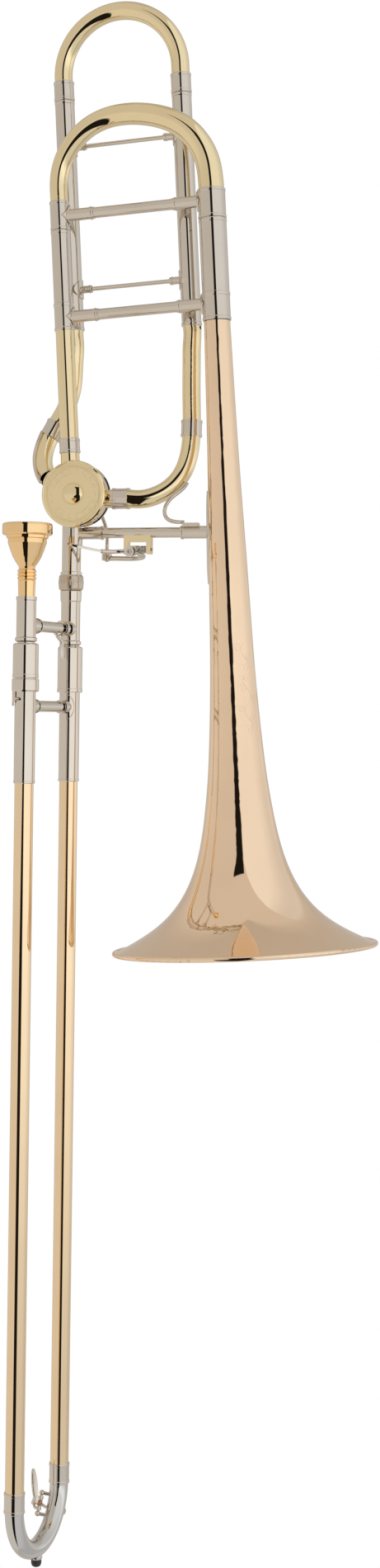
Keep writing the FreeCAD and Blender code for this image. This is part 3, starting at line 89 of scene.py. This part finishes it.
# ---------------------------------------------------------------- node helpers
class Tree:
    """Short calls for building a node tree."""

    def __init__(self, owner):
        owner.use_nodes = True
        self.tree = owner.node_tree
        self.tree.nodes.clear()

    def node(self, kind, values=None, **props):
        n = self.tree.nodes.new(kind)
        for k, v in props.items():
            setattr(n, k, v)
        for k, v in (values or {}).items():
            if isinstance(v, bpy.types.NodeSocket):
                self.tree.links.new(v, n.inputs[k])
            else:
                n.inputs[k].default_value = v
        return n

    def math(self, op, a, b=0.0, c=0.0):
        n = self.node("ShaderNodeMath", {0: a, 1: b, 2: c}, operation=op)
        return n.outputs[0]

    def step(self, value, low, high):
        """0 below low and 1 above high, smooth between them; low may be the larger."""
        flip = low > high
        values = {
            "Value": value, "From Min": min(low, high), "From Max": max(low, high),
            "To Min": float(flip), "To Max": float(not flip)}
        return self.node("ShaderNodeMapRange", values, interpolation_type="SMOOTHSTEP").outputs[0]

    def mix(self, fac, a, b):
        n = self.node("ShaderNodeMix", data_type="RGBA")
        for key, v in ((0, fac), (6, a), (7, b)):
            if isinstance(v, bpy.types.NodeSocket):
                self.tree.links.new(v, n.inputs[key])
            else:
                n.inputs[key].default_value = v if key == 0 else tuple(v) + (1.0,)
        return n.outputs[2]


# ---------------------------------------------------------------- studio
# A pale tent: warm walls, a tall dark slot in front, and a wide softbox to the right of it. Angles are in
# degrees, measured right of the front and up from level.
STUDIO_RIGHT = (0.96118, 0.27562, 0.0)
STUDIO_FRONT = (0.27562, -0.96118, 0.0)
WARM = (0.76, 0.71, 0.655)
BRIGHT = (1.10, 1.09, 1.08)
DARK = (0.012, 0.010, 0.009)
SLOT_LEFT = -15.5
SLOT_RIGHT = 3.5
SLOT_TOP = 41.5
SLOT_BLUR = 1.5           # half the soft edge at each side
SLOT_TOP_BLUR = 0.6
SLOT_LOW_LEFT = 12.0      # how much further the slot reaches low down, on each side
SLOT_LOW_RIGHT = 5.0
SLOT_FLARE = 11.0         # how much further left it reaches near its top
BOX_FACING = 78.0
BOX_END = 137.0
BOX_TOP = 2.35            # height of the softbox over its distance
BOX_START_BLUR = 2
BOX_END_BLUR = 5
BOX_TOP_BLUR = 0.08


def softbox_mask(t, azimuth, elevation):
    """Where the softbox is seen: a flat panel facing BOX_FACING, from the slot to BOX_END."""
    turned = t.math("MULTIPLY", t.math("SUBTRACT", azimuth, BOX_FACING), math.pi / 180)
    height = t.math("TANGENT", t.math("MULTIPLY", elevation, math.pi / 180))
    across = t.math("MAXIMUM", t.math("COSINE", turned), 0.05)
    level = t.math("DIVIDE", height, across)
    below_top = t.step(level, BOX_TOP + BOX_TOP_BLUR, BOX_TOP - BOX_TOP_BLUR)
    past_slot = t.step(azimuth, SLOT_RIGHT, SLOT_RIGHT + BOX_START_BLUR)
    before_end = t.step(azimuth, BOX_END + BOX_END_BLUR, BOX_END - BOX_END_BLUR)
    return t.math("MULTIPLY", t.math("MULTIPLY", below_top, past_slot), before_end)


def slot_mask(t, azimuth, elevation):
    """Where the dark slot is seen; it is wider low down and flares a little at its top."""
    low = t.step(elevation, 0.0, -7.0)
    high = t.step(elevation, 27.0, 41.0)
    wider = t.math("ADD", t.math("MULTIPLY", low, SLOT_LOW_LEFT), t.math("MULTIPLY", high, SLOT_FLARE))
    from_left = t.math("ADD", azimuth, wider)
    from_right = t.math("SUBTRACT", azimuth, t.math("MULTIPLY", low, SLOT_LOW_RIGHT))
    left = t.step(from_left, SLOT_LEFT - SLOT_BLUR, SLOT_LEFT + SLOT_BLUR)
    right = t.step(from_right, SLOT_RIGHT + SLOT_BLUR, SLOT_RIGHT - SLOT_BLUR)
    mask = t.math("MULTIPLY", left, right)
    return t.math("MULTIPLY", mask, t.step(elevation, SLOT_TOP + SLOT_TOP_BLUR, SLOT_TOP - SLOT_TOP_BLUR))


def scaled(t, colour, amount):
    return t.node("ShaderNodeVectorMath", {0: colour, "Scale": amount}, operation="SCALE").outputs[0]


def make_world():
    world = bpy.data.worlds.new("studio")
    bpy.context.scene.world = world
    t = Tree(world)
    d = t.node("ShaderNodeTexCoord").outputs["Generated"]
    right = t.node("ShaderNodeVectorMath", {0: d, 1: STUDIO_RIGHT}, operation="DOT_PRODUCT").outputs["Value"]
    front = t.node("ShaderNodeVectorMath", {0: d, 1: STUDIO_FRONT}, operation="DOT_PRODUCT").outputs["Value"]
    z = t.node("ShaderNodeSeparateXYZ", {0: d}).outputs["Z"]
    azimuth = t.math("MULTIPLY", t.math("ARCTAN2", right, front), 180 / math.pi)
    elevation = t.math("MULTIPLY", t.math("ARCSINE", z), 180 / math.pi)

    fall = t.math("MULTIPLY_ADD", t.step(elevation, -6.0, 14.0), -0.13, 1.0)
    behind = t.math("MULTIPLY_ADD", t.step(t.math("ABSOLUTE", azimuth), 125.0, 160.0), -0.22, 1.0)
    wall = scaled(t, WARM, t.math("MULTIPLY", fall, behind))

    glow_up = t.math("MULTIPLY_ADD", t.step(elevation, -2.0, 13.0), -0.20, 1.0)
    glow_down = t.math("MULTIPLY_ADD", t.step(elevation, -4.0, -17.0), -0.36, 1.0)
    glow_side = t.math("MULTIPLY_ADD", t.step(azimuth, 62.0, 125.0), -0.22, 1.0)
    glow = t.math("MULTIPLY", t.math("MULTIPLY", glow_up, glow_down), glow_side)
    box = scaled(t, BRIGHT, glow)

    colour = t.mix(softbox_mask(t, azimuth, elevation), wall, box)
    colour = t.mix(slot_mask(t, azimuth, elevation), colour, DARK)
    seen = t.node("ShaderNodeLightPath").outputs["Is Camera Ray"]
    colour = t.mix(seen, colour, (1.0, 1.0, 1.0))
    back = t.node("ShaderNodeBackground", {"Color": colour, "Strength": 1.0})
    t.node("ShaderNodeOutputWorld", {"Surface": back.outputs[0]})


FLOOR_SIZE = 12.0
FLOOR_NEAR = 0.25         # the paper starts to glow this far from the middle
FLOOR_FAR = 0.9
LAMP_SIZE = 3.0
LAMP_POWER = 130.0
LAMP_PLACE = (0.0, -0.3, 2.6)


def make_floor():
    """White paper below the reach of the hand slide: plain under the object, glowing evenly further out."""
    reach = next(joint["range_m"][1] for joint in frame["joints"] if joint["name"] == "hand_slide")
    low = cad_box[0][2] - reach
    half = FLOOR_SIZE / 2
    mesh = bpy.data.meshes.new("floor")
    corners = [(-half, -half, low), (half, -half, low), (half, half, low), (-half, half, low)]
    mesh.from_pydata(corners, [], [(0, 1, 2, 3)])
    floor = bpy.data.objects.new("floor", mesh)
    bpy.context.scene.collection.objects.link(floor)
    mat = bpy.data.materials.new("floor_paper")
    t = Tree(mat)
    place = t.node("ShaderNodeTexCoord").outputs["Object"]
    flat = t.node("ShaderNodeVectorMath", {0: place, 1: (1.0, 1.0, 0.0)}, operation="MULTIPLY").outputs[0]
    away = t.node("ShaderNodeVectorMath", {0: flat}, operation="LENGTH").outputs["Value"]
    paper = t.node("ShaderNodeBsdfDiffuse", {"Color": (0.96, 0.96, 0.96, 1.0), "Roughness": 0.5})
    glow = t.node("ShaderNodeEmission", {"Color": (1.0, 1.0, 1.0, 1.0), "Strength": 1.0})
    share = t.step(away, FLOOR_NEAR, FLOOR_FAR)
    both = t.node("ShaderNodeMixShader", {0: share, 1: paper.outputs[0], 2: glow.outputs[0]})
    t.node("ShaderNodeOutputMaterial", {"Surface": both.outputs[0]})
    mesh.materials.append(mat)
    floor.visible_glossy = False


def make_overhead_light():
    data = bpy.data.lights.new("overhead", "AREA")
    data.shape = "RECTANGLE"
    data.size = LAMP_SIZE
    data.size_y = LAMP_SIZE
    data.energy = LAMP_POWER
    lamp = bpy.data.objects.new("overhead", data)
    lamp.location = LAMP_PLACE
    lamp.visible_glossy = False
    bpy.context.scene.collection.objects.link(lamp)


make_world()
make_floor()
make_overhead_light()
bpy.context.scene.view_settings.view_transform = "Standard"


# ---------------------------------------------------------------- materials
TINT = 0.035              # how far the colour of a metal wanders
POLISH_DEPTH = 0.000004   # depth of the polishing lines
DRAW = (1.0, 1.0, 0.04)   # the lines run up and down


def metal(name, colour, rough, coat=0.0):
    """Polished metal with fine drawn lines, dust and a colour that wanders a little."""
    mat = bpy.data.materials.new(name)
    t = Tree(mat)
    place = t.node("ShaderNodeTexCoord").outputs["Object"]
    along = t.node("ShaderNodeVectorMath", {0: place, 1: DRAW}, operation="MULTIPLY").outputs[0]
    lines = t.node("ShaderNodeTexNoise", {"Vector": along, "Scale": 900.0, "Detail": 3.0}).outputs["Fac"]
    cloud = t.node("ShaderNodeTexNoise", {"Vector": place, "Scale": 28.0, "Detail": 4.0}).outputs["Fac"]
    dust = t.node("ShaderNodeTexNoise", {"Vector": place, "Scale": 3200.0, "Detail": 1.0}).outputs["Fac"]
    light = tuple(min(1.0, c * (1 + TINT)) for c in colour)
    dark = tuple(c * (1 - TINT * (1.0 + 0.5 * i)) for i, c in enumerate(colour))
    base = t.mix(cloud, dark, light)
    wear = t.math("MULTIPLY_ADD", lines, 0.5, t.math("MULTIPLY", cloud, 0.5))
    r = t.node("ShaderNodeMapRange", {
        "Value": wear, "From Min": 0.3, "From Max": 0.7, "To Min": rough * 0.7, "To Max": rough * 1.4})
    height = t.math("ADD", lines, t.math("MULTIPLY", dust, 0.6))
    bump = t.node("ShaderNodeBump", {"Height": height, "Strength": 0.25, "Distance": POLISH_DEPTH})
    shade = t.node("ShaderNodeBsdfPrincipled", {
        "Base Color": base, "Metallic": 1.0, "Roughness": r.outputs[0], "Normal": bump.outputs[0],
        "Coat Weight": coat, "Coat Roughness": 0.06, "Coat IOR": 1.45})
    t.node("ShaderNodeOutputMaterial", {"Surface": shade.outputs[0]})
    return mat


def plain(name, colour, rough, scale, bumpiness):
    """Cork or rubber, with a fine grain."""
    mat = bpy.data.materials.new(name)
    t = Tree(mat)
    place = t.node("ShaderNodeTexCoord").outputs["Object"]
    grain = t.node("ShaderNodeTexNoise", {"Vector": place, "Scale": scale, "Detail": 6.0}).outputs["Fac"]
    base = t.mix(grain, tuple(c * 0.7 for c in colour), tuple(min(1, c * 1.25) for c in colour))
    bump = t.node("ShaderNodeBump", {"Height": grain, "Strength": 0.4, "Distance": bumpiness})
    shade = t.node("ShaderNodeBsdfPrincipled", {
        "Base Color": base, "Roughness": rough, "Normal": bump.outputs[0]})
    t.node("ShaderNodeOutputMaterial", {"Surface": shade.outputs[0]})
    return mat


MATERIALS = {
    "yellow_brass": metal("yellow_brass", (0.90, 0.77, 0.49), 0.03, coat=0.2),
    "rose_brass": metal("rose_brass", (0.97, 0.75, 0.54), 0.025, coat=0.2),
    "gold_brass": metal("gold_brass", (0.91, 0.72, 0.48), 0.03, coat=0.2),
    "gold_plate": metal("gold_plate", (0.96, 0.69, 0.37), 0.03),
    "nickel_silver": metal("nickel_silver", (0.71, 0.66, 0.59), 0.03),
    "bright_nickel": metal("bright_nickel", (0.66, 0.66, 0.64), 0.025),
    "satin_nickel": metal("satin_nickel", (0.60, 0.52, 0.43), 0.22),
    "steel": metal("steel", (0.60, 0.59, 0.58), 0.2),
    "copper_wire": metal("copper_wire", (0.72, 0.42, 0.28), 0.18),
    "cork": plain("cork", (0.52, 0.36, 0.22), 0.85, 900.0, 0.0004),
    "black_rubber": plain("black_rubber", (0.018, 0.018, 0.018), 0.5, 700.0, 0.0002),
}

for node_name, node_object in NODES.items():
    finish = MATERIALS[SLOT_OF[node_name]]
    node_object.data.materials.clear()
    node_object.data.materials.append(finish)


# ---------------------------------------------------------------- fine detail
LINE_R = 0.00013          # radius of an engraver's raised line
LINE_SIDES = 6
SCROLL_EYE = 0.12         # where a scroll starts, as a share of its size


def make_piece(name, verts, faces, body, slot):
    """A mesh piece with its finish, riding on a body."""
    mesh = bpy.data.meshes.new(name)
    mesh.from_pydata(verts, [], faces)
    mesh.validate()
    mesh.shade_smooth()
    mesh.materials.append(MATERIALS[slot])
    piece = bpy.data.objects.new(name, mesh)
    bpy.context.scene.collection.objects.link(piece)
    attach(piece, body)
    return piece


def add_line(verts, faces, points, ups, radius, closed):
    """Round bar through the points, capped at its ends unless it is closed."""
    first = len(verts)
    count = len(points)
    for i, (point, up) in enumerate(zip(points, ups)):
        before = points[(i - 1) % count] if closed or i > 0 else point
        after = points[(i + 1) % count] if closed or i < count - 1 else point
        side = (after - before).normalized().cross(up).normalized()
        for k in range(LINE_SIDES):
            a = 2 * math.pi * k / LINE_SIDES
            verts.append(point + side * (radius * math.cos(a)) + up * (radius * math.sin(a)))
    for i in range(count if closed else count - 1):
        here = first + i * LINE_SIDES
        there = first + (i + 1) % count * LINE_SIDES
        for k in range(LINE_SIDES):
            n = (k + 1) % LINE_SIDES
            faces.append((here + k, here + n, there + n, there + k))
    if not closed:
        last = first + (count - 1) * LINE_SIDES
        faces.append(tuple(first + k for k in reversed(range(LINE_SIDES))))
        faces.append(tuple(last + k for k in range(LINE_SIDES)))


def scroll(turns, size, samples, mirrored):
    """Points (across, up) of a flat spiral that opens from its middle to the given size."""
    points = []
    for i in range(samples):
        share = i / (samples - 1)
        a = 2 * math.pi * turns * share
        r = size * (SCROLL_EYE + (1 - SCROLL_EYE) * share)
        points.append((r * math.cos(a) * (-1 if mirrored else 1), r * math.sin(a)))
    return points


# the valve cap: its face is the plane that the polished dome stands on
CAP_DOME = 0.0019
CAP_WAVE_R = 0.0229
CAP_WAVES = 40
CAP_WAVE_SIZE = 0.0010
CAP_WAVE_SAMPLES = 10     # points along one wave
CAP_RING_STEP = 3         # a plain ring needs only every third of those angles
CAP_STRANDS = 3
CAP_SCROLLS = 18
CAP_SCROLL_R = 0.0192
CAP_SCROLL_SIZE = 0.00165
CAP_SCROLL_TURNS = 1.6
CAP_SCROLL_SAMPLES = 26
CAP_RINGS = (0.0168, 0.0212, 0.0246)


def engrave_cap():
    """Woven waves near the edge of the cap and a ring of scrolls inside them."""
    low, high = (Vector(corner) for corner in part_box("valve_cap"))
    centre = (low + high) / 2
    face_y = low.y + CAP_DOME
    up = Vector((0, -1, 0))
    verts, faces = [], []

    def at(r, a):
        return Vector((centre.x + r * math.cos(a), face_y, centre.z + r * math.sin(a)))

    samples = CAP_WAVES * CAP_WAVE_SAMPLES
    angles = [2 * math.pi * i / samples for i in range(samples)]
    for strand in range(CAP_STRANDS):
        phase = 2 * math.pi * strand / CAP_STRANDS
        wave = [at(CAP_WAVE_R + CAP_WAVE_SIZE * math.sin(CAP_WAVES * a + phase), a) for a in angles]
        add_line(verts, faces, wave, [up] * samples, LINE_R, True)
    for r in CAP_RINGS:
        ring = [at(r, a) for a in angles[::CAP_RING_STEP]]
        add_line(verts, faces, ring, [up] * len(ring), LINE_R, True)
    for i in range(CAP_SCROLLS):
        a = 2 * math.pi * i / CAP_SCROLLS
        middle = at(CAP_SCROLL_R, a)
        outward = Vector((math.cos(a), 0, math.sin(a)))
        across = Vector((-math.sin(a), 0, math.cos(a)))
        spiral = scroll(CAP_SCROLL_TURNS, CAP_SCROLL_SIZE, CAP_SCROLL_SAMPLES, i % 2)
        curl = [middle + across * u + outward * w for u, w in spiral]
        add_line(verts, faces, curl, [up] * len(curl), LINE_R, False)
    make_piece("cap_engraving", verts, faces, "bell_section", "yellow_brass")


# a vine on the bell, to the right of its front
VINE_LENGTH = 0.075
VINE_MIDDLE = 0.42        # share of the bell's height, from the rim
VINE_TURN = 35.0          # degrees right of the front
VINE_WAVES = 3.0
VINE_SWAY = 0.0035
VINE_LEAVES = 9
LEAF_SIZE = 0.0034
LEAF_TURNS = 1.4
LEAF_SAMPLES = 30
VINE_SAMPLES = 120
BELL_REACH = 0.1          # rays towards the bell start this far from its axis
SLICE_HALF = 0.012        # half the height of a slice that the axis is found from


def bell_frame():
    """A ray caster for the bell, and the point and direction of its axis."""
    bell = NODES["bell"]
    corners = [v.co for v in bell.data.vertices]
    tree = BVHTree.FromPolygons(corners, [tuple(p.vertices) for p in bell.data.polygons])
    low, high = (Vector(corner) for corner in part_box("bell"))
    heights = [low.z + (high.z - low.z) * share for share in (0.5, 0.9)]
    middles = []
    for z in heights:
        ring = [corner for corner in corners if abs(corner.z - z) < SLICE_HALF]
        middles.append(sum(ring, Vector()) / len(ring))
    return tree, middles[0], (middles[1] - middles[0]).normalized(), low.z, high.z


def engrave_bell():
    """A faint vine with curled leaves, laid on the outside of the bell."""
    tree, base, axis, z_low, z_high = bell_frame()
    turn = math.radians(VINE_TURN)
    facing = Vector(STUDIO_RIGHT) * math.sin(turn) + Vector(STUDIO_FRONT) * math.cos(turn)
    facing = (facing - axis * facing.dot(axis)).normalized()
    across = axis.cross(facing)
    middle = base + axis * ((z_low + (z_high - z_low) * VINE_MIDDLE - base.z) / axis.z)

    def on_bell(u, w):
        foot = middle + axis * w
        start = foot + facing * BELL_REACH + across * u
        hit, normal, _, _ = tree.ray_cast(start, -facing)
        return hit, (normal if normal.dot(facing) > 0 else -normal)

    def line(points):
        spots = [on_bell(u, w) for u, w in points]
        add_line(verts, faces, [s[0] for s in spots], [s[1] for s in spots], LINE_R, False)

    def stem(share):
        return VINE_SWAY * math.sin(2 * math.pi * VINE_WAVES * share), VINE_LENGTH * (share - 0.5)

    verts, faces = [], []
    line([stem(i / (VINE_SAMPLES - 1)) for i in range(VINE_SAMPLES)])
    for i in range(VINE_LEAVES):
        u, w = stem((i + 0.5) / VINE_LEAVES)
        side = 1 if i % 2 else -1
        curl = scroll(LEAF_TURNS, LEAF_SIZE, LEAF_SAMPLES, i % 2)
        line([(u + side * LEAF_SIZE + du, w + dw) for du, dw in curl])
    make_piece("bell_engraving", verts, faces, "bell_section", "rose_brass")


# screws in the bearing plate
SCREW_SEGMENTS = 28
SCREW_R = 0.0019
SCREW_HEIGHT = 0.0009
SCREW_LEVELS = ((1.0, -0.3), (1.0, 0.35), (0.86, 0.75), (0.55, 0.95))   # shares of its radius and height
SCREW_SLOT = 0.17         # half the slot's width, as a share of the radius
SCREW_SLOT_DEPTH = 0.45
PLATE_SCREW_RING = 0.0185
PLATE_SCREWS = 3
PLATE_SEAT = 0.002        # the raised seat in the middle of the plate, above the face with the screws


def add_screw(verts, faces, centre, out, radius, height):
    """Domed screw head with a cut slot, standing out of a surface."""
    side = out.orthogonal().normalized()
    other = out.cross(side)
    slot_half = radius * SCREW_SLOT
    first = len(verts)
    for share, rise in SCREW_LEVELS:
        for k in range(SCREW_SEGMENTS):
            a = 2 * math.pi * k / SCREW_SEGMENTS
            u, w = radius * share * math.cos(a), radius * share * math.sin(a)
            sunk = SCREW_SLOT_DEPTH if abs(w) < slot_half and rise > 0.4 else 0.0
            verts.append(centre + side * u + other * w + out * (height * (rise - sunk)))
    verts.append(centre + out * (height * (1 - SCREW_SLOT_DEPTH)))
    top = len(verts) - 1
    for level in range(len(SCREW_LEVELS) - 1):
        for k in range(SCREW_SEGMENTS):
            n = (k + 1) % SCREW_SEGMENTS
            a, b = first + level * SCREW_SEGMENTS, first + (level + 1) * SCREW_SEGMENTS
            faces.append((a + k, a + n, b + n, b + k))
    rim = first + (len(SCREW_LEVELS) - 1) * SCREW_SEGMENTS
    faces.extend((rim + k, rim + (k + 1) % SCREW_SEGMENTS, top) for k in range(SCREW_SEGMENTS))
    faces.append(tuple(first + k for k in reversed(range(SCREW_SEGMENTS))))


def add_plate_screws():
    """Three screws in a ring on the back of the valve."""
    low, high = (Vector(corner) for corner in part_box("bearing_plate"))
    centre = (low + high) / 2
    plate_y = high.y - PLATE_SEAT
    verts, faces = [], []
    for i in range(PLATE_SCREWS):
        a = math.radians(90 + 360 * i / PLATE_SCREWS)
        x = centre.x + PLATE_SCREW_RING * math.cos(a)
        z = centre.z + PLATE_SCREW_RING * math.sin(a)
        add_screw(verts, faces, Vector((x, plate_y, z)), Vector((0, 1, 0)), SCREW_R, SCREW_HEIGHT)
    screws = make_piece("plate_screws", verts, faces, "bell_section", "steel")
    screws.data.shade_flat()


engrave_cap()
engrave_bell()
add_plate_screws()
